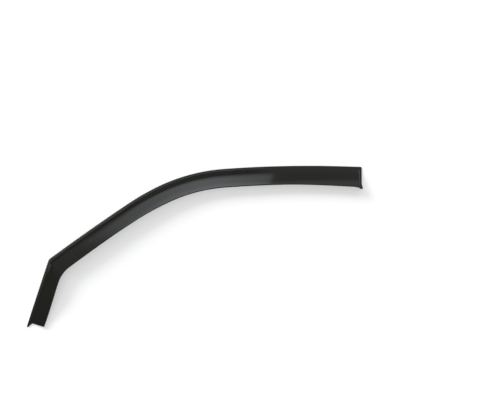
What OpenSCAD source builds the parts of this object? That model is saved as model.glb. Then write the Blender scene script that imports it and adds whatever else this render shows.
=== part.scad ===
// Rain deflector for the window of a left front door: one sheet of smoked acrylic, heat-formed
// over a tool and trimmed. A fixing flange runs round the outer edge, a rounded shoulder
// lifts off it, and a wide blade stands clear of the glass behind it. The lower end of the leg is
// cut open, and the rear end turns down and is closed.
// It lies on its flange, outer face up: +X to the rear of the car, +Y up to the roof, +Z out of
// the door. Lengths are in millimetres and angles in degrees.

/* [Sheet] */
// Thickness of the sheet
sheet_t = 3; // [2:0.25:4]
// Width of the rounding on every trimmed edge
edge_round = 1.2; // [0.4:0.1:1.5]
// Radius of the side glass that the flange follows
glass_r = 3000; // [1500:100:9000]

/* [Leg] */
// Length of the leg, from its lower cut to the outer corner
leg_len = 172; // [130:1:240]
// Rise of the leg above the roof line
leg_angle = 74; // [62:1:84]
// Width of the leg at its lower cut
leg_tip_w = 45.7; // [40:0.1:50]
// Width of the leg at the corner
leg_w = 49.6; // [45:0.1:56]
// Distance from the outer edge to the shoulder along the leg
leg_shoulder = 14; // [12:0.5:20]
// Height of the free edge at the lower cut
tip_h = 8; // [5:0.5:16]
// Length of the tongue of flange below the lower cut
tongue_len = 13; // [4:1:20]
// Width of the tongue where it leaves the cut
tongue_root_w = 12; // [10:0.5:14]
// Width of the tongue at its point
tongue_tip_w = 3; // [2:0.5:6]

/* [Corner] */
// Radius of the outer edge at the corner
corner_out_r = 12; // [4:1:30]
// Radius of the free edge at the corner
corner_in_r = 81; // [50:1:95]

/* [Pillar and roof line] */
// Rise of the pillar stretch where it leaves the corner
pillar_angle = 37.1; // [31:0.1:44]
// Width of the pillar stretch
pillar_w = 54.6; // [50:0.1:60]
// Distance from the outer edge to the shoulder along the pillar
pillar_shoulder = 16; // [13:0.5:22]
// Straight stretch between the corner and the bowed pillar
pillar_straight = 8; // [2:1:60]
// Length of the bowed pillar
pillar_len = 213; // [120:1:300]
// Turn of the bowed pillar
pillar_turn = 2; // [1:0.5:5]
// Length of the first, gentle part of the bend
lead_len = 86; // [50:1:130]
// Turn of the first part of the bend
lead_turn = 7.5; // [4:0.5:12]
// Length of the main part of the bend
bend_len = 194; // [120:1:260]
// Turn of the main part of the bend
bend_turn = 23.2; // [14:0.1:28]
// Length of the bowed roof line
roof_len = 333; // [150:1:450]
// Turn of the bowed roof line
roof_turn = 6.3; // [2:0.1:9]
// Width of the roof stretch
roof_w = 58.5; // [54:0.1:64]
// Distance from the outer edge to the shoulder along the roof
roof_shoulder = 21.5; // [17:0.5:27]
// Distance along the pillar at which it starts to widen towards the roof
widen_from = 125; // [0:5:200]
// Length over which it widens
widen_len = 195; // [100:5:260]

/* [Rear end] */
// Straight stretch at the rear end
tail_len = 46; // [30:1:90]
// Width at the rear end
rear_w = 62.9; // [60:0.1:68]
// Length over which the roof stretch widens to the rear end
flare_len = 220; // [60:10:300]
// Width of the flange across the rear end
rear_flange = 4.5; // [4:0.5:8]
// Run of the wall that closes the rear end
rear_wall = 6; // [5:0.5:14]
// Radius of the upper rear corner
rear_corner_r = 4; // [2:0.5:7]
// Reach of the heel, the small flare at the lower rear corner
heel_reach = 3; // [0:0.5:5]
// Height of the heel along the rear edge
heel_len = 14; // [8:1:20]

/* [Section] */
// Width of the fixing flange
flange_w = 7; // [6:0.5:9]
// Slope of the wall between the flange and the shoulder
wall_slope = 32; // [26:1:40]
// Height of the free edge above the door
free_h = 22; // [19:0.5:30]
// Length of the rounding at the foot of the wall
foot_len = 4.4; // [3.4:0.2:5]
// Length of the rounding over the shoulder
shoulder_len = 5; // [3:0.5:8]
// Swell of the blade between the shoulder and the free edge
swell_h = 0.6; // [0:0.1:2]

/* [Hidden] */

// Steps along each part of the section, and along each stretch of the length
foot_steps = 3;
shoulder_steps = 5;
blade_steps = 5;
rim_steps = 3;
leg_steps = 11;
corner_steps = 10;
straight_steps = 2;
pillar_steps = 7;
lead_steps = 8;
bend_steps = 22;
roof_steps = 14;
tail_steps = 4;

// How far the rounding of a cut end has run in, and the share of the thickness it leaves there
end_rounding = [[0, 0.45], [0.35, 0.85], [1, 1]];

function heading(a) = [cos(a), sin(a)];
// Square to a heading, towards the free edge
function inward(a) = [sin(a), -cos(a)];
function mix(p, q, f) = p + (q - p) * f;
function clamped(x) = max(0, min(1, x));
function ease(x) = let (c = clamped(x)) c * c * (3 - 2 * c);
function unit(v) = v / norm(v);

// A curve that leaves one line for another, tangent to both, from the place where they would meet
function bend(meet, from, to, reach, steps) =
  let (before = meet - heading(from) * reach, after = meet + heading(to) * reach)
  [for (i = [0:steps]) let (t = i / steps) mix(mix(before, meet, t), mix(meet, after, t), t)];

// A rise from a flat at 0 over a rounded foot and up a wall to a rounded crest. It starts at the
// flat's width, its sharp crest would be at [run, rise], and it leaves the crest at an angle.
function ramp(flat, run, rise, leave) =
  let (
    slope = atan2(rise, run - flat),
    foot = bend([flat, 0], 0, slope, foot_len / 2, foot_steps),
    crest = bend([run, rise], slope, leave, shoulder_len / 2, shoulder_steps)
  )
  concat(foot, [mix(foot[foot_steps], crest[0], 0.5)], crest);

// Middle surface of the sheet across its width, as offsets from the outer edge and heights over
// the flange: flange, foot, wall, shoulder and blade. lift scales its heights.
function section(shoulder, width, lift) =
  let (
    rise = (shoulder - flange_w) * tan(wall_slope) * lift,
    far = [width - edge_round, (free_h - sheet_t) * lift],
    chord = far - [shoulder, rise],
    swell = atan(4 * swell_h * lift / norm(chord)),
    wall = ramp(flange_w, shoulder, rise, atan2(chord[1], chord[0]) + swell),
    near = wall[len(wall) - 1],
    across = unit([near[1] - far[1], far[0] - near[0]])
  )
  concat(
    [[edge_round, 0], [mix(edge_round, wall[0][0], 0.5), 0]],
    wall,
    [
      for (i = [1:blade_steps])
        let (f = i / blade_steps)
          mix(near, far, f) + across * swell_h * lift * 4 * f * (1 - f)
    ]
  );

// The outer corner is the origin of the outline
turn = leg_angle - pillar_angle;
leg_cut = -heading(leg_angle) * leg_len;
leg_top = section(leg_shoulder, leg_w, 1);
pillar_foot = section(pillar_shoulder, pillar_w, 1);
last = len(leg_top) - 1;

// Each line of the sheet turns the corner on its own radius
function corner_r(k) = mix(corner_out_r, corner_in_r, pillar_foot[k][0] / pillar_w);
function corner_cut(k) = corner_r(k) * tan(turn / 2);
// Where a line's two straights would meet, along the leg and along the pillar
function leg_meet(k) = (leg_top[k][0] * cos(turn) - pillar_foot[k][0]) / sin(turn);
function pillar_meet(k) = (leg_top[k][0] - pillar_foot[k][0] * cos(turn)) / sin(turn);
function leg_end(k) = leg_len + leg_meet(k) - corner_cut(k);
pillar_start = pillar_meet(last) + corner_cut(last) + pillar_straight;

// The lower cut runs square across the blade and out to the point of the tongue
function cut_line(u) =
  -tongue_len * clamped((tongue_root_w - u) / (tongue_root_w - tongue_tip_w));

function leg_ring(run_in, f) =
  let (s = section(leg_shoulder, mix(leg_tip_w, leg_w, sin(90 * f)), mix(tip_lift, 1, ease(f))))
  [
    for (k = [0:last])
      let (along = mix(cut_line(s[k][0]) + run_in, leg_end(k), f))
        spot(leg_cut + heading(leg_angle) * along + inward(leg_angle) * s[k][0], s[k][1])
  ];
tip_lift = (tip_h - sheet_t) / (free_h - sheet_t);

function corner_ring(f) =
  let (a = mix(leg_angle, pillar_angle, f))
  [
    for (k = [0:last])
      let (
        start = leg_cut + heading(leg_angle) * leg_end(k) + inward(leg_angle) * leg_top[k][0],
        hub = start + inward(leg_angle) * corner_r(k)
      )
        spot(hub - inward(a) * corner_r(k), mix(leg_top[k][1], pillar_foot[k][1], f))
  ];

function straight_ring(f) =
  [
    for (k = [0:last])
      let (along = mix(pillar_meet(k) + corner_cut(k), pillar_start, f))
        spot(
          heading(pillar_angle) * along + inward(pillar_angle) * pillar_foot[k][0],
          pillar_foot[k][1]
        )
  ];

// A point of the middle surface, before the sheet is bowed to the glass
function spot(p, h) = [p[0], p[1], sheet_t / 2 + h];

// The bowed stretches of the outer edge, one after the other: length, turn and steps
bows = [
  [pillar_len, pillar_turn, pillar_steps],
  [lead_len, lead_turn, lead_steps],
  [bend_len, bend_turn, bend_steps],
  [roof_len, roof_turn, roof_steps]
];
function run_to(n) = n == 0 ? 0 : run_to(n - 1) + bows[n - 1][0];
function angle_at(n) = n == 0 ? pillar_angle : angle_at(n - 1) - bows[n - 1][1];
function place_at(n) =
  n == 0 ? heading(pillar_angle) * pillar_start : bow_place(n - 1, 1);
// A place on a bowed stretch, by the chord from its start
function bow_place(n, f) =
  let (half = bows[n][1] * f / 2, r = bows[n][0] / (bows[n][1] * PI / 180))
  place_at(n) + heading(angle_at(n) - half) * 2 * r * sin(half);
bow_count = len(bows);
whole_run = run_to(bow_count) + tail_len;

function section_at(run) =
  let (
    widen = ease((run - widen_from) / widen_len),
    flare = ease((run - whole_run + flare_len) / flare_len),
    width = mix(pillar_w, roof_w, widen) + (rear_w - roof_w) * flare
  )
  section(mix(pillar_shoulder, roof_shoulder, widen), width, 1);

function bow_ring(n, f) =
  let (
    p = bow_place(n, f),
    a = angle_at(n) - bows[n][1] * f,
    s = section_at(run_to(n) + bows[n][0] * f)
  )
  [for (k = [0:last]) spot(p + inward(a) * s[k][0], s[k][1])];

// The wall that closes the rear end, as it is at the free edge, where it is highest
rear_ramp = ramp(rear_flange, rear_flange + rear_wall, free_h - sheet_t, 0);
rear_angle = angle_at(bow_count);
rear_edge = place_at(bow_count) + heading(rear_angle) * tail_len;

// A ring at a distance before the rear edge, with its heights scaled by lift
function rear_ring(before, lift) =
  let (
    s = section_at(whole_run - before),
    width = s[last][0] + edge_round,
    c = max(0, rear_corner_r - before),
    inset = rear_corner_r - sqrt(rear_corner_r * rear_corner_r - c * c)
  )
  [
    for (k = [0:last])
      let (
        u = inset + s[k][0] * (1 - inset / width),
        heel = heel_reach * ease((u - width + heel_len) / heel_len)
          * (1 - ease(before / (rear_flange + rear_wall)))
      )
        spot(
          rear_edge + heading(rear_angle) * (heel - before) + inward(rear_angle) * u,
          s[k][1] * lift
        )
  ];

// Rings of the middle surface, from the lower cut of the leg to the rear edge
middle = concat(
  [for (e = end_rounding) leg_ring(e[0] * edge_round, 0)],
  [for (i = [1:leg_steps]) leg_ring(edge_round, i / leg_steps)],
  [for (i = [1:corner_steps]) corner_ring(i / corner_steps)],
  [for (i = [1:straight_steps]) straight_ring(i / straight_steps)],
  [for (n = [0:bow_count - 1]) for (i = [1:bows[n][2]]) bow_ring(n, i / bows[n][2])],
  [
    for (i = [1:tail_steps])
      rear_ring(mix(tail_len, rear_flange + rear_wall + shoulder_len, i / tail_steps), 1)
  ],
  [
    for (i = [len(rear_ramp) - 1:-1:0])
      rear_ring(rear_ramp[i][0], rear_ramp[i][1] / rear_ramp[len(rear_ramp) - 1][1])
  ],
  [for (i = [len(end_rounding) - 1:-1:0]) rear_ring(end_rounding[i][0] * edge_round, 0)]
);
rings = len(middle);

// The share of the thickness at a ring: the cut ends are rounded
function fullness(j) =
  j < len(end_rounding) ? end_rounding[j][1]
  : rings - 1 - j < len(end_rounding) ? end_rounding[rings - 1 - j][1]
  : 1;

function normal_at(j, k) =
  unit(cross(
    middle[j][min(k + 1, last)] - middle[j][max(k - 1, 0)],
    middle[min(j + 1, rings - 1)][k] - middle[max(j - 1, 0)][k]
  ));

// Half-round rim on one side edge, from one face of the sheet to the other
function rim(j, k, inner, from) =
  let (out = unit(middle[j][k] - middle[j][inner]), n = normal_at(j, k), full = fullness(j))
  [
    for (i = [1:rim_steps])
      let (a = from * (1 - 2 * i / (rim_steps + 1)))
        middle[j][k] + (out * edge_round * cos(a) + n * sheet_t / 2 * sin(a)) * full
  ];

// The closed outline of the sheet at a ring: outer face, free edge, inner face, outer edge
function loop(j) =
  concat(
    [for (k = [0:last]) middle[j][k] + normal_at(j, k) * sheet_t / 2 * fullness(j)],
    rim(j, last, last - 1, 90),
    [for (k = [last:-1:0]) middle[j][k] - normal_at(j, k) * sheet_t / 2 * fullness(j)],
    rim(j, 0, 1, -90)
  );
loop_len = 2 * (last + 1) + 2 * rim_steps;

// The sheet is bowed about a line along the car, so that its flange lies on the glass line
flat_pts = [for (j = [0:rings - 1]) each loop(j)];
low_y = min([for (p = flat_pts) p[1]]);
high_y = max([for (p = flat_pts) p[1]]);
mid_y = (low_y + high_y) / 2;
function bowed(p) =
  let (a = (p[1] - mid_y) / glass_r * 180 / PI)
  [p[0], (glass_r + p[2]) * sin(a), (glass_r + p[2]) * cos(a)];
bowed_pts = [for (p = flat_pts) bowed(p)];

// The origin is at the middle of the part's box, on its underside
function middle_of(axis) =
  (min([for (p = bowed_pts) p[axis]]) + max([for (p = bowed_pts) p[axis]])) / 2;
origin = [middle_of(0), middle_of(1), min([for (p = bowed_pts) p[2]])];

side_faces = [
  for (j = [0:rings - 2])
    for (i = [0:loop_len - 1])
      let (
        a = j * loop_len + i,
        b = a + loop_len,
        d = j * loop_len + (i + 1) % loop_len,
        c = d + loop_len
      )
        each [[a, b, c], [a, c, d]]
];

// Triangles that close one end: a strip between the two faces and a fan in each rim
free_rim = last + 1;
end_faces = concat(
  [
    for (k = [0:last - 1])
      let (under = loop_len - rim_steps - 1 - k)
        each [[k, k + 1, under - 1], [k, under - 1, under]]
  ],
  [for (i = [free_rim:free_rim + rim_steps - 1]) [last, i, i + 1]],
  [for (i = [loop_len - rim_steps:loop_len - 1]) [0, i - 1, i]]
);
last_ring = (rings - 1) * loop_len;

module deflector() {
  color([0.08, 0.08, 0.075])
    translate(-origin)
      polyhedron(
        bowed_pts,
        concat(
          side_faces,
          end_faces,
          [for (f = end_faces) [for (i = [2, 1, 0]) last_ring + f[i]]]
        ),
        convexity = 10
      );
}

deflector();
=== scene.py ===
# Looks of a window rain deflector: one sheet of dark smoked acrylic, heat-formed and trimmed.
# It lies on its flange, outer face up. Lengths are in metres, and angles in degrees.
from math import atan, atan2, cos, degrees, pi, radians, sin, sqrt, tan

import bpy
from mathutils import Matrix, Vector


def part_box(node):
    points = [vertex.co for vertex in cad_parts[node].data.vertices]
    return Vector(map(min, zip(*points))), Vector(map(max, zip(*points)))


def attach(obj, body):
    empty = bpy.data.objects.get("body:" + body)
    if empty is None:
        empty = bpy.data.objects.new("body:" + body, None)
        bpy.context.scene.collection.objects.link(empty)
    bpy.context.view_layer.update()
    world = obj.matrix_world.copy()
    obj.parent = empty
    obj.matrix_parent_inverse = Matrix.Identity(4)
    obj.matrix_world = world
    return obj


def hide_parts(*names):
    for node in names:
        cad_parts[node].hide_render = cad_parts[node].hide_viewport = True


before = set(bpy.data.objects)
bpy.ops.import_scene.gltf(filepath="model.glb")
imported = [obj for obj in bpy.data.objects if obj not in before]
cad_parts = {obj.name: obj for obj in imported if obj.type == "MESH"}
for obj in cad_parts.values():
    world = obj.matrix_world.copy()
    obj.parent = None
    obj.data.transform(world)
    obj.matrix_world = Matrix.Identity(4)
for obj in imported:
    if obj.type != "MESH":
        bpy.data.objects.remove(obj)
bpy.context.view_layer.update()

mm = 0.001


def heading(a):
    return Vector((cos(radians(a)), sin(radians(a))))


def inward(a):                   # square to a heading, towards the free edge
    return Vector((sin(radians(a)), -cos(radians(a))))


def mix(p, q, f):
    return p + (q - p) * f


def spaced(p, q, steps):         # evenly from p, short of q
    return [mix(p, q, i / steps) for i in range(steps)]


def ease(x):
    c = max(0.0, min(1.0, x))
    return c * c * (3 - 2 * c)


# Across the sheet: flange, rounded foot, wall, rounded shoulder and blade

sheet = {
    "thickness": 2.96 * mm,
    "nominal": 3 * mm,
    "rimRound": 1.2 * mm,        # how far the rounding of a trimmed edge reaches in
    "rimSteps": 8,
    "trimGap": 0.06 * mm,        # keeps the outline just inside the solid
    "glassRadius": 3.0,
    "weldGap": 0.002 * mm,       # joins the bead to the faces
    "rippleDepth": 0.06 * mm,    # unevenness left by the heat-forming
    "rippleSize": 0.12,
    "rippleDetail": 2.0,
    "seed": 7,
}
profile = {
    "wallFrom": 7 * mm, "wallSlope": 32,     # these two set how high the shoulder stands
    "freeHeight": 22 * mm, "swell": 0.6 * mm,
    "footLength": 3 * mm, "shoulderLength": 5 * mm,
    "flangeSteps": 4, "footSteps": 6, "wallSteps": 7, "shoulderSteps": 10, "bladeSteps": 18,
}
inset = sheet["rimRound"] + sheet["trimGap"]         # from the outline in to where the faces end
crown = profile["freeHeight"] - sheet["nominal"]     # how far the free edge is lifted


def bend(meet, start, end, reach, steps):    # leaves one line for another, tangent to both
    before, after = meet - heading(start) * reach, meet + heading(end) * reach
    curve = []
    for i in range(steps + 1):
        t = i / steps
        curve.append(mix(mix(before, meet, t), mix(meet, after, t), t))
    return curve


def ramp(flat, run, rise, leave, footLength, crestLength):
    slope = degrees(atan2(rise, run - flat))
    foot = bend(Vector((flat, 0)), 0, slope, footLength / 2, profile["footSteps"])
    crest = bend(Vector((run, rise)), slope, leave, crestLength / 2, profile["shoulderSteps"])
    return foot + spaced(foot[-1], crest[0], profile["wallSteps"])[1:] + crest


def section(flange, shoulder, width, lift):
    rise = (shoulder - profile["wallFrom"]) * tan(radians(profile["wallSlope"])) * lift
    far = Vector((width - inset, crown * lift))
    chord = far - Vector((shoulder, rise))
    swell = profile["swell"] * lift
    leave = degrees(atan2(chord.y, chord.x) + atan(4 * swell / chord.length))
    wall = ramp(flange, shoulder, rise, leave, profile["footLength"], profile["shoulderLength"])
    points = spaced(Vector((inset, 0)), wall[0], profile["flangeSteps"]) + wall
    blade = far - wall[-1]
    across = Vector((-blade.y, blade.x)).normalized()
    for i in range(1, profile["bladeSteps"] + 1):
        f = i / profile["bladeSteps"]
        points.append(mix(wall[-1], far, f) + across * swell * 4 * f * (1 - f))
    return points


# Along the sheet, first the leg, the sharp corner and the foot of the pillar stretch

leg = {
    "length": 172 * mm, "angle": 74, "tipWidth": 45.7 * mm, "width": 49.6 * mm, "rings": 60,
    "shoulder": 14 * mm, "flange": 7.9 * mm, "tipHeight": 8 * mm,
    "tongueLength": 13 * mm, "tongueRoot": 12 * mm, "tongueTip": 3 * mm,
    "notchRound": 1.5 * mm,      # softens the corner where the tongue leaves the cut
}
corner = {"outerRadius": 12 * mm, "innerRadius": 81 * mm, "rings": 26}
pillar = {
    "angle": 37.1, "width": 54.6 * mm, "shoulder": 16 * mm, "flange": 7.9 * mm,
    "straight": 8 * mm, "rings": 4, "widenFrom": 125 * mm, "widenLength": 195 * mm,
}
turn = leg["angle"] - pillar["angle"]
legCut = heading(leg["angle"]) * -leg["length"]
legTop = section(leg["flange"], leg["shoulder"], leg["width"], 1)
pillarFoot = section(pillar["flange"], pillar["shoulder"], pillar["width"], 1)
columns = range(len(legTop))


def cornerRadius(k):             # each line of the sheet turns the corner on its own radius
    return mix(corner["outerRadius"], corner["innerRadius"], pillarFoot[k].x / pillar["width"])


def cornerCut(k):
    return cornerRadius(k) * tan(radians(turn / 2))


def legEnd(k):
    meet = (legTop[k].x * cos(radians(turn)) - pillarFoot[k].x) / sin(radians(turn))
    return leg["length"] + meet - cornerCut(k)


def pillarMeet(k):
    return (legTop[k].x - pillarFoot[k].x * cos(radians(turn))) / sin(radians(turn)) + cornerCut(k)


pillarStart = pillarMeet(columns[-1]) + pillar["straight"]


def cutLine(u):                  # square across the blade, and round a soft corner to the tongue's point
    slope = leg["tongueLength"] / (leg["tongueRoot"] - leg["tongueTip"])
    root = leg["tongueRoot"] - inset * (sqrt(1 + slope ** 2) - 1) / slope
    out = root - u
    if abs(out) < leg["notchRound"]:
        out = (out + leg["notchRound"]) ** 2 / (4 * leg["notchRound"])
    return inset - min(max(0, out) * slope, leg["tongueLength"])


def onLeg(along, u):             # from the leg's cut, and from its outer edge
    return legCut + heading(leg["angle"]) * along + inward(leg["angle"]) * u


def spot(p, h):
    return (p.x, p.y, h)


def legRing(f):
    tipLift = (leg["tipHeight"] - sheet["nominal"]) / crown
    width = mix(leg["tipWidth"], leg["width"], sin(radians(90 * f)))
    line = section(leg["flange"], leg["shoulder"], width, mix(tipLift, 1, ease(f)))
    return [spot(onLeg(mix(cutLine(s.x), legEnd(k), f), s.x), s.y) for k, s in enumerate(line)]


def cornerRing(f):
    a = mix(leg["angle"], pillar["angle"], f)
    ring = []
    for k in columns:
        hub = onLeg(legEnd(k), legTop[k].x) + inward(leg["angle"]) * cornerRadius(k)
        ring.append(spot(hub - inward(a) * cornerRadius(k), mix(legTop[k].y, pillarFoot[k].y, f)))
    return ring


def straightRing(f):
    ring = []
    for k in columns:
        along = mix(pillarMeet(k), pillarStart, f)
        place = heading(pillar["angle"]) * along + inward(pillar["angle"]) * pillarFoot[k].x
        ring.append(spot(place, pillarFoot[k].y))
    return ring


# Then the bowed pillar, the bend, the roof stretch and the rear end

bows = [                         # bowed stretches of the outer edge, from the pillar to the roof
    {"length": 213 * mm, "turn": 2, "rings": 64},
    {"length": 86 * mm, "turn": 7.5, "rings": 30},
    {"length": 194 * mm, "turn": 23.2, "rings": 74},
    {"length": 333 * mm, "turn": 6.3, "rings": 90},
]
roof = {"width": 58.5 * mm, "shoulder": 21.5 * mm, "flange": 6.2 * mm}
rear = {
    "tail": 46 * mm, "rings": 12, "width": 62.9 * mm, "flareLength": 220 * mm,
    "flange": 5.5 * mm, "wall": 3.5 * mm, "cornerRadius": 4 * mm, "endRings": 6,
    "footLength": 4.4 * mm, "crestLength": 3.6 * mm,
    "roundedShare": 0.8,         # the most of the end wall that its two roundings may take
    "heelReach": 3 * mm, "heelLength": 14 * mm,
    "sweep": 2.2 * mm, "sweepLength": 24 * mm, "sweepPower": 3,      # draws the free edge out to the heel
}
wholeRun = sum(b["length"] for b in bows) + rear["tail"]
wallRun = rear["flange"] + rear["wall"]


def sectionAt(run):
    widen = ease((run - pillar["widenFrom"]) / pillar["widenLength"])
    flare = ease((run - wholeRun + rear["flareLength"]) / rear["flareLength"])
    width = mix(pillar["width"], roof["width"], widen) + (rear["width"] - roof["width"]) * flare
    flange = mix(pillar["flange"], roof["flange"], widen)
    return section(flange, mix(pillar["shoulder"], roof["shoulder"], widen), width, 1)


def bowRings():                  # returns the rings, and where the last stretch ends
    rings = []
    place, angle, run = heading(pillar["angle"]) * pillarStart, pillar["angle"], 0
    for bow in bows:
        radius = bow["length"] / radians(bow["turn"])
        for i in range(1, bow["rings"] + 1):
            f = i / bow["rings"]
            half = bow["turn"] * f / 2
            p = place + heading(angle - half) * 2 * radius * sin(radians(half))
            line = sectionAt(run + bow["length"] * f)
            rings.append([spot(p + inward(angle - 2 * half) * s.x, s.y) for s in line])
        place, angle, run = p, angle - bow["turn"], run + bow["length"]
    return rings, place, angle


def rearWall(rise):              # from the end's flange up to a line of the sheet that stands this high
    room = rear["roundedShare"] * sqrt(rear["wall"] ** 2 + rise ** 2)
    share = min(1, 2 * room / (rear["footLength"] + rear["crestLength"]))
    roundings = rear["footLength"] * share, rear["crestLength"] * share
    wall = ramp(rear["flange"], wallRun, rise, 0, *roundings)
    return [Vector((x, 0)) for x in spaced(inset, wall[0].x, rear["endRings"])] + wall


def rearSpot(edge, angle, s, width, before, height):
    square = max(0, rear["cornerRadius"] - before)
    trim = rear["cornerRadius"] - sqrt(rear["cornerRadius"] ** 2 - square ** 2)
    swept = ease((rear["sweepLength"] - before) / (rear["sweepLength"] - wallRun))
    sweep = rear["sweep"] * height / crown * swept
    u = trim + s.x * (1 - trim / width) + sweep * (s.x / width) ** rear["sweepPower"]
    heel = rear["heelReach"] * ease((u + inset - width + rear["heelLength"]) / rear["heelLength"])
    heel *= 1 - ease(before / wallRun)
    return spot(edge + heading(angle) * (heel - before) + inward(angle) * u, height)


def rearRings(place, angle):
    edge = place + heading(angle) * rear["tail"]
    rings = []
    for i in range(1, rear["rings"] + 1):
        before = mix(rear["tail"], wallRun + rear["crestLength"], i / rear["rings"])
        line = sectionAt(wholeRun - before)
        width = line[-1].x + inset
        rings.append([rearSpot(edge, angle, s, width, before, s.y) for s in line])
    line = sectionAt(wholeRun)
    width = line[-1].x + inset
    walls = [rearWall(s.y) for s in line]
    for i in reversed(range(len(walls[0]))):
        rings.append([rearSpot(edge, angle, s, width, w[i].x, w[i].y) for s, w in zip(line, walls)])
    return rings


def flatBlank():                 # the trimmed sheet laid flat, with the height each point is formed to
    rings = [legRing(i / leg["rings"]) for i in range(leg["rings"] + 1)]
    rings += [cornerRing(i / corner["rings"]) for i in range(1, corner["rings"] + 1)]
    rings += [straightRing(i / pillar["rings"]) for i in range(1, pillar["rings"] + 1)]
    bowRows, place, angle = bowRings()
    rings += bowRows + rearRings(place, angle)
    points = [p for ring in rings for p in ring]
    middleY = (min(p[1] for p in points) + max(p[1] for p in points)) / 2
    n = len(columns)
    faces = []
    for j in range(len(rings) - 1):
        for k in range(n - 1):
            a = j * n + k
            faces.append((a, a + 1, a + n + 1, a + n))
    mesh = bpy.data.meshes.new("blank")
    mesh.from_pydata([(x, y - middleY, 0) for x, y, h in points], [], faces)
    rise = mesh.attributes.new("rise", "FLOAT", "POINT")
    rise.data.foreach_set("value", [h for x, y, h in points])
    print("blank:", len(rings), "rings of", n)
    return mesh


class Tree:                      # a node tree that is written down node by node
    def __init__(self, tree):
        self.tree = tree

    def feed(self, value, socket):           # from another node's output, or as a fixed value
        if isinstance(value, bpy.types.NodeSocket):
            self.tree.links.new(value, socket)
        else:
            socket.default_value = value

    def add(self, kind, settings=None, byPlace=None, **byName):
        node = self.tree.nodes.new(kind)
        for name, value in (settings or {}).items():
            setattr(node, name, value)
        for socket, value in {**(byPlace or {}), **byName}.items():
            self.feed(value, node.inputs[socket])
        return node

    def get(self, kind, settings=None, byPlace=None, **byName):      # a new node's first output
        return self.add(kind, settings, byPlace, **byName).outputs[0]

    def math(self, operation, *values):
        return self.get("ShaderNodeMath", {"operation": operation}, dict(enumerate(values)))

    def times(self, level, *shares):
        for share in shares:
            level = self.math("MULTIPLY", level, share)
        return level

    def vector(self, operation, *values, out=0):
        node = self.add("ShaderNodeVectorMath", {"operation": operation}, dict(enumerate(values)))
        return node.outputs[out]

    def scaled(self, vector, factor):
        return self.get("ShaderNodeVectorMath", {"operation": "SCALE"}, {0: vector}, Scale=factor)

    def spread(self, value, start, end, low=0.0, high=1.0, kind="LINEAR"):
        limits = dict(enumerate((value, start, end, low, high)))
        return self.get("ShaderNodeMapRange", {"interpolation_type": kind}, limits)

    def fade(self, value, start, end, low=0.0, high=1.0):            # a spread with soft ends
        return self.spread(value, start, end, low, high, "SMOOTHSTEP")

    def tint(self, share, dark, light):
        node = self.add("ShaderNodeMix", {"data_type": "RGBA"}, {0: share, 6: dark, 7: light})
        return node.outputs[2]

    def stored(self, kind, name):            # an attribute that an earlier step left on the mesh
        node = self.add("GeometryNodeInputNamedAttribute", {"data_type": kind}, Name=name)
        return node.outputs["Attribute"]

    def moved(self, geometry, **to):
        return self.get("GeometryNodeSetPosition", Geometry=geometry, **to)


# Forming: the blank is pressed to its heights, bowed to the glass and given its thickness. A half-round
# bead is then swept round the trimmed outline to close it.

def pressed(t, given, half):
    lift = t.get("ShaderNodeCombineXYZ", Z=t.math("ADD", t.stored("FLOAT", "rise"), half))
    return t.moved(given["Geometry"], Offset=lift)


def bowed(t, given, flat):       # about a line along the car, so that the flange lies on the glass line
    place = t.add("ShaderNodeSeparateXYZ", Vector=t.get("GeometryNodeInputPosition")).outputs
    reach = t.math("ADD", given["Glass radius"], place["Z"])
    angle = t.math("DIVIDE", place["Y"], given["Glass radius"])
    bowY = t.math("MULTIPLY", reach, t.math("SINE", angle))
    bowZ = t.math("SUBTRACT", t.math("MULTIPLY", reach, t.math("COSINE", angle)), given["Glass radius"])
    return t.moved(flat, Position=t.get("ShaderNodeCombineXYZ", X=place["X"], Y=bowY, Z=bowZ))


def rippled(t, given, even, normal):
    noise = t.get("ShaderNodeTexNoise", {"noise_dimensions": "4D"}, W=given["Seed"],
                  Detail=sheet["rippleDetail"], Scale=t.math("DIVIDE", 1.0, given["Ripple size"]))
    depth = t.math("MULTIPLY", t.math("SUBTRACT", noise, 0.5), given["Ripple depth"])
    return t.moved(even, Offset=t.scaled(normal, depth))


def edgeLine(t, middle, square, out):        # the trimmed outline, its normal square to the sheet
    faceCount = t.add("GeometryNodeInputMeshEdgeNeighbors").outputs["Face Count"]
    equal = {"data_type": "INT", "operation": "EQUAL"}
    onEdge = t.get("FunctionNodeCompare", equal, {2: faceCount, 3: 1})
    line =t.get("GeometryNodeMeshToCurve", Mesh=middle, Selection=onEdge)
    sideways = t.vector("CROSS_PRODUCT", t.get("GeometryNodeInputTangent"), square)
    way = t.math("SIGN", t.vector("DOT_PRODUCT", sideways, out, out="Value"))
    return t.get("GeometryNodeSetCurveNormal", {"mode": "FREE"}, Curve=line, Normal=t.scaled(square, way))


def halfRound(t, given, half):   # the bead's section, from one face to the other
    line = t.get("GeometryNodeCurvePrimitiveLine", Start=(0, 0, 0), End=(1, 0, 0))
    stops = t.get("GeometryNodeResampleCurve", Curve=line, Count=t.math("ADD", given["Rim steps"], 1.0))
    factor = t.add("GeometryNodeSplineParameter").outputs["Factor"]
    angle = t.math("MULTIPLY", t.math("SUBTRACT", factor, 0.5), pi)
    across = t.math("MULTIPLY", t.math("SINE", angle), half)
    outward = t.math("MULTIPLY", t.math("COSINE", angle), given["Rim round"])
    return t.moved(stops, Position=t.get("ShaderNodeCombineXYZ", X=across, Y=outward))


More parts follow.
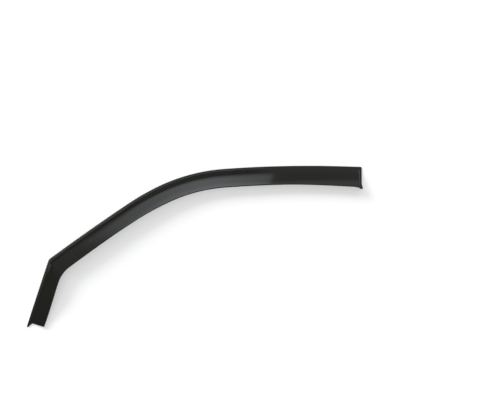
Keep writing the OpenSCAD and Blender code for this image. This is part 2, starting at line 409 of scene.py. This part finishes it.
def formedSheetTree():
    tree = bpy.data.node_groups.new("formedSheet", "GeometryNodeTree")
    tree.interface.new_socket("Geometry", in_out="OUTPUT", socket_type="NodeSocketGeometry")
    inputs = {
        "Geometry": ("Geometry",),
        "Float": ("Thickness", "Glass radius", "Rim round", "Weld gap", "Ripple depth", "Ripple size"),
        "Int": ("Rim steps", "Seed"),
        "Material": ("Face finish", "Edge finish"),
    }
    for kind, names in inputs.items():
        for name in names:
            tree.interface.new_socket(name, in_out="INPUT", socket_type="NodeSocket" + kind)
    t = Tree(tree)
    given = t.add("NodeGroupInput").outputs
    half = t.math("MULTIPLY", given["Thickness"], 0.5)
    normal = t.get("GeometryNodeInputNormal")
    formed = rippled(t, given, bowed(t, given, pressed(t, given, half)), normal)

    # Square to the sheet, and out of its edge, both kept on every point
    position = t.get("GeometryNodeInputPosition")
    blurred = t.get("GeometryNodeBlurAttribute", {"data_type": "FLOAT_VECTOR"},
                    Value=position, Iterations=1)
    keep = t.add("GeometryNodeCaptureAttribute", Geometry=formed)
    keep.capture_items.new("VECTOR", "square")
    keep.capture_items.new("VECTOR", "out")
    t.feed(normal, keep.inputs[1])
    t.feed(t.vector("SUBTRACT", position, blurred), keep.inputs[2])
    middle, square, out = keep.outputs[0], keep.outputs[1], keep.outputs[2]

    # Outer and inner faces, and the half-round edge between them
    up = t.scaled(square, half)
    upper = t.moved(middle, Offset=up)
    lower = t.get("GeometryNodeFlipFaces", Mesh=t.moved(middle, Offset=t.scaled(up, -1.0)))
    swept = t.add("GeometryNodeCurveToMesh", Curve=edgeLine(t, middle, square, out))
    t.feed(halfRound(t, given, half), swept.inputs["Profile Curve"])
    rim = t.get("GeometryNodeFlipFaces", Mesh=swept.outputs[0])
    rim = t.get("GeometryNodeStoreNamedAttribute", {"data_type": "BOOLEAN", "domain": "FACE"},
                Geometry=rim, Name="trimmedEdge", Value=True)
    joined = t.add("GeometryNodeJoinGeometry")
    for part in (upper, lower, rim):
        t.feed(part, joined.inputs[0])
    closed = t.get("GeometryNodeMergeByDistance", Geometry=joined.outputs[0], Distance=given["Weld gap"])
    smooth = t.get("GeometryNodeSetShadeSmooth", Geometry=closed)
    real = t.get("GeometryNodeRealizeInstances", Geometry=smooth)
    faced = t.get("GeometryNodeSetMaterial", Geometry=real, Material=given["Face finish"])
    edged = t.get("GeometryNodeSetMaterial", Geometry=faced, Selection=t.stored("BOOLEAN", "trimmedEdge"),
                  Material=given["Edge finish"])
    t.add("NodeGroupOutput", Geometry=edged)
    return tree


def formTheSheet(faceFinish, edgeFinish):
    blank = flatBlank()
    piece = bpy.data.objects.new("smokedSheet", blank)
    bpy.context.scene.collection.objects.link(piece)
    tree = formedSheetTree()
    press = piece.modifiers.new("formedSheet", "NODES")
    press.node_group = tree
    wanted = {
        "Thickness": sheet["thickness"], "Glass radius": sheet["glassRadius"],
        "Rim round": sheet["rimRound"], "Rim steps": sheet["rimSteps"], "Weld gap": sheet["weldGap"],
        "Ripple depth": sheet["rippleDepth"], "Ripple size": sheet["rippleSize"], "Seed": sheet["seed"],
        "Face finish": faceFinish, "Edge finish": edgeFinish,
    }
    for item in tree.interface.items_tree:
        if item.in_out == "INPUT" and item.name in wanted:
            press[item.identifier] = wanted[item.name]
    ready = piece.evaluated_get(bpy.context.evaluated_depsgraph_get())
    formed = bpy.data.meshes.new_from_object(ready)
    piece.modifiers.remove(press)
    piece.data = formed
    bpy.data.meshes.remove(blank)

    # Its box is set in the middle of the solid's box
    low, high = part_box("deflector")
    corners = [Vector(c) for c in piece.bound_box]
    lowest = Vector([min(c[i] for c in corners) for i in range(3)])
    highest = Vector([max(c[i] for c in corners) for i in range(3)])
    formed.transform(Matrix.Translation((low + high) / 2 - (lowest + highest) / 2))
    print("formed sheet:", len(formed.vertices), "points")
    return piece


# Finishes

def newFinish(name):
    material = bpy.data.materials.new(name)
    material.use_nodes = True
    t = Tree(material.node_tree)
    shader = material.node_tree.nodes["Principled BSDF"].inputs
    place = t.add("ShaderNodeTexCoord").outputs["Object"]
    return material, t, shader, place


acrylic = {
    "dark": (0.0107, 0.011, 0.0089, 1), "light": (0.0123, 0.0126, 0.0102, 1),
    "ior": 1.49, "roughness": 0.045, "smudged": 0.09,            # roughness where it is clean and smudged
    "smudgeSize": 0.05, "smudgeDetail": 5.0, "smudgeRoughness": 0.6, "smudgeFrom": 0.42, "smudgeTo": 0.72,
    "grainSize": 1.2 * mm, "grainDetail": 1.0, "grainDepth": 0.002 * mm,
}


def smokedAcrylic():
    material, t, shader, place = newFinish("smokedAcrylic")
    cloud = t.get("ShaderNodeTexNoise", Vector=place, Scale=1 / acrylic["smudgeSize"],
                  Detail=acrylic["smudgeDetail"], Roughness=acrylic["smudgeRoughness"])
    smudge = t.spread(cloud, acrylic["smudgeFrom"], acrylic["smudgeTo"])
    grain = t.get("ShaderNodeTexNoise", Vector=place, Scale=1 / acrylic["grainSize"],
                  Detail=acrylic["grainDetail"])
    bump = t.get("ShaderNodeBump", Height=grain, Distance=acrylic["grainDepth"], Strength=1.0)
    t.feed(t.tint(smudge, acrylic["dark"], acrylic["light"]), shader["Base Color"])
    t.feed(t.spread(smudge, 0.0, 1.0, acrylic["roughness"], acrylic["smudged"]), shader["Roughness"])
    t.feed(bump, shader["Normal"])
    t.feed(acrylic["ior"], shader["IOR"])
    return material


sawn = {
    "dark": (0.018, 0.0182, 0.017, 1), "light": (0.032, 0.0322, 0.03, 1),
    "specular": 0.12, "roughness": 0.45, "markSize": 2.5 * mm, "markDetail": 3.0,
}


def trimmedEdge():               # sawn and scraped, so paler and duller than the faces
    material, t, shader, place = newFinish("trimmedEdge")
    marks = t.get("ShaderNodeTexNoise", Vector=place, Scale=1 / sawn["markSize"], Detail=sawn["markDetail"])
    t.feed(t.tint(marks, sawn["dark"], sawn["light"]), shader["Base Color"])
    t.feed(sawn["roughness"], shader["Roughness"])
    t.feed(sawn["specular"], shader["Specular IOR Level"])
    t.feed(acrylic["ior"], shader["IOR"])
    return material


# Studio: a pale floor in a room that is dark beyond the roof edge and pale on the side towards the sill.
# A long softbox on the dark side, a round panel overhead and a key light from the upper left light it.

floorLook = {"size": 30.0, "colour": 0.62, "seen": 0.43}     # seen is its glow to the rays below


def seenRays(t):                 # 1 for what the camera sees, straight, in gloss or through glass
    rays = t.add("ShaderNodeLightPath").outputs
    seen = t.math("MAXIMUM", rays["Is Camera Ray"], rays["Is Glossy Ray"])
    return t.math("MAXIMUM", seen, rays["Is Transmission Ray"])


def paleFloor():
    half = floorLook["size"] / 2
    corners = [(-half, -half, 0), (half, -half, 0), (half, half, 0), (-half, half, 0)]
    mesh = bpy.data.meshes.new("floor")
    mesh.from_pydata(corners, [], [(0, 1, 2, 3)])
    floor = bpy.data.objects.new("floor", mesh)
    bpy.context.scene.collection.objects.link(floor)
    material = bpy.data.materials.new("paleFloor")
    material.use_nodes = True
    material.node_tree.nodes.clear()
    t = Tree(material.node_tree)
    c = floorLook["colour"]
    matt = t.get("ShaderNodeBsdfDiffuse", Color=(c, c, c, 1))
    glow = t.get("ShaderNodeEmission", Strength=t.math("MULTIPLY", seenRays(t), floorLook["seen"]))
    t.add("ShaderNodeOutputMaterial", Surface=t.get("ShaderNodeAddShader", byPlace={0: matt, 1: glow}))
    mesh.materials.append(material)


# The room is painted by direction. A fade is its start and end, then its levels there if they are fixed.
# X and Y are the direction's parts to the rear of the car and to the roof edge, and azimuths run from the
# roof side to the rear.
room = {
    "wall": (-0.45, 0.02, 0.085, 0.275),         # by X, for the dark wall
    "foot": (-0.62, -0.45, 0.02, 0.1),           # by X, for the foot of that wall
    "footRight": (-0.04, 0.03, 0.0, 0.175),      # by X, added to the foot
    "footTop": (20, 32),                         # by degrees up, from the foot to the wall
    "near": (-0.12, -0.5, 0.0, 0.8),             # by Y, for the pale side
    "horizon": (3.6, 2.4),                       # by degrees up
}
overhead = {
    "way": (0.17, 0.2, 0.965),                   # towards its middle
    "edge": (0.78, 0.87, 0.0, 0.95),             # by the cosine of the angle to its middle
    "near": (-0.08, 0.12, 0.3, 1.0),             # by Y
    "far": (0.24, 0.36),                         # by Y, from 1 to the next fade's level
    "farShare": (0.45, 0.58, 0.5, 0.76),         # by Y
}
softbox = {
    "left": (-47.5, -36), "right": (1.6, 0.6),   # by azimuth
    "bottom": (29, 38.2), "top": (56, 51),       # by degrees up
    "bottomSlant": 0.07, "topSlant": -0.25,      # how much lower they lie for each degree to the left
    "middle": -10, "glow": (30, 0, 1.0, 1.6),    # by degrees to either side of its middle
    "end": (-7, 0.5, 1.0, 0.66),                 # by azimuth
    "hot": (41, 50, 1.0, 1.44),                  # by degrees up
    "spill": (-82, -60, 0.0, 0.15),              # by azimuth, for a weak glow to its left
    "spillFoot": (12, 24),                       # by degrees up
    "colour": (0.935, 0.99, 1.05, 1),
}


def roomLevel(t, way, x, y, elevation):
    foot = t.math("ADD", t.fade(x, *room["foot"]), t.fade(x, *room["footRight"]))
    wall = t.fade(elevation, *room["footTop"], foot, t.fade(x, *room["wall"]))
    near = t.fade(y, *room["near"])
    toMiddle = t.vector("DOT_PRODUCT", way, overhead["way"], out="Value")
    far = t.fade(y, *overhead["far"], 1.0, t.fade(y, *overhead["farShare"]))
    above = t.times(t.fade(toMiddle, *overhead["edge"]), t.fade(y, *overhead["near"]), far)
    horizon = t.fade(elevation, *room["horizon"])
    return t.math("MAXIMUM", t.math("MAXIMUM", wall, near), t.math("MAXIMUM", above, horizon))


def softboxLevel(t, azimuth, elevation):
    offMiddle = t.math("ABSOLUTE", t.math("SUBTRACT", azimuth, softbox["middle"]))
    fromBottom = t.math("SUBTRACT", elevation, t.math("MULTIPLY", azimuth, softbox["bottomSlant"]))
    fromTop = t.math("SUBTRACT", elevation, t.math("MULTIPLY", azimuth, softbox["topSlant"]))
    level = t.times(
        t.fade(offMiddle, *softbox["glow"]), t.fade(azimuth, *softbox["end"]),
        t.fade(elevation, *softbox["hot"]), t.fade(azimuth, *softbox["left"]),
        t.fade(fromBottom, *softbox["bottom"]),
    )
    spill = t.times(t.fade(azimuth, *softbox["spill"]), t.fade(elevation, *softbox["spillFoot"]))
    level = t.math("ADD", level, spill)
    return t.times(level, t.fade(azimuth, *softbox["right"]), t.fade(fromTop, *softbox["top"]))


def studioWorld():
    world = bpy.data.worlds.new("studio")
    bpy.context.scene.world = world
    world.use_nodes = True
    world.node_tree.nodes.clear()
    t = Tree(world.node_tree)
    way = t.add("ShaderNodeTexCoord").outputs["Generated"]
    x, y, z = t.add("ShaderNodeSeparateXYZ", Vector=way).outputs
    azimuth = t.math("DEGREES", t.math("ARCTAN2", x, y))
    elevation = t.math("DEGREES", t.math("ARCSINE", z))
    level = roomLevel(t, way, x, y, elevation)
    backdrop = t.get("ShaderNodeBackground", Color=(1, 1, 1, 1), Strength=level)
    level = softboxLevel(t, azimuth, elevation)
    panel = t.get("ShaderNodeBackground", Color=softbox["colour"], Strength=level)
    t.add("ShaderNodeOutputWorld", Surface=t.get("ShaderNodeAddShader", byPlace={0: backdrop, 1: panel}))


keyLight = {"azimuth": -52, "elevation": 24, "spread": 30, "share": 0.44}    # share of the floor's light


def hangKeyLight():
    lamp = bpy.data.lights.new("keyLight", "SUN")
    lamp.angle = radians(keyLight["spread"])
    lamp.energy = keyLight["share"] * pi / sin(radians(keyLight["elevation"]))
    holder = bpy.data.objects.new("keyLight", lamp)
    bpy.context.scene.collection.objects.link(holder)
    holder.rotation_euler = (radians(90 - keyLight["elevation"]), 0, radians(180 - keyLight["azimuth"]))
    holder.visible_glossy = False    # it lights and casts the shadow, and the gloss shows the room alone


photo = {
    "width": 500, "focalLength": 694,        # in pixels of the photo
    "tilt": 10.8,                            # off straight down, towards the roof edge
    "distance": 1.893,                       # to the point of the floor in the middle of the photo
    "middle": (0.1399, 0.1229),              # where that point is
    "sensor": 36,                            # width of the camera's sensor, in millimetres
}


def setCamera():
    camera = bpy.data.objects.new("camera", bpy.data.cameras.new("camera"))
    bpy.context.scene.collection.objects.link(camera)
    tilt = radians(photo["tilt"])
    x, y = photo["middle"]
    camera.location = (x, y - photo["distance"] * sin(tilt), photo["distance"] * cos(tilt))
    camera.rotation_euler = (tilt, 0, 0)
    camera.data.sensor_width = photo["sensor"]
    camera.data.lens = photo["sensor"] * photo["focalLength"] / photo["width"]
    bpy.context.scene.camera = camera


bpy.context.scene.view_settings.view_transform = "Standard"
setCamera()
studioWorld()
paleFloor()
hangKeyLight()
print("studio ready")

faceFinish = smokedAcrylic()
edgeFinish = trimmedEdge()
print("finishes ready")

piece = formTheSheet(faceFinish, edgeFinish)
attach(piece, "root")
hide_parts("deflector")
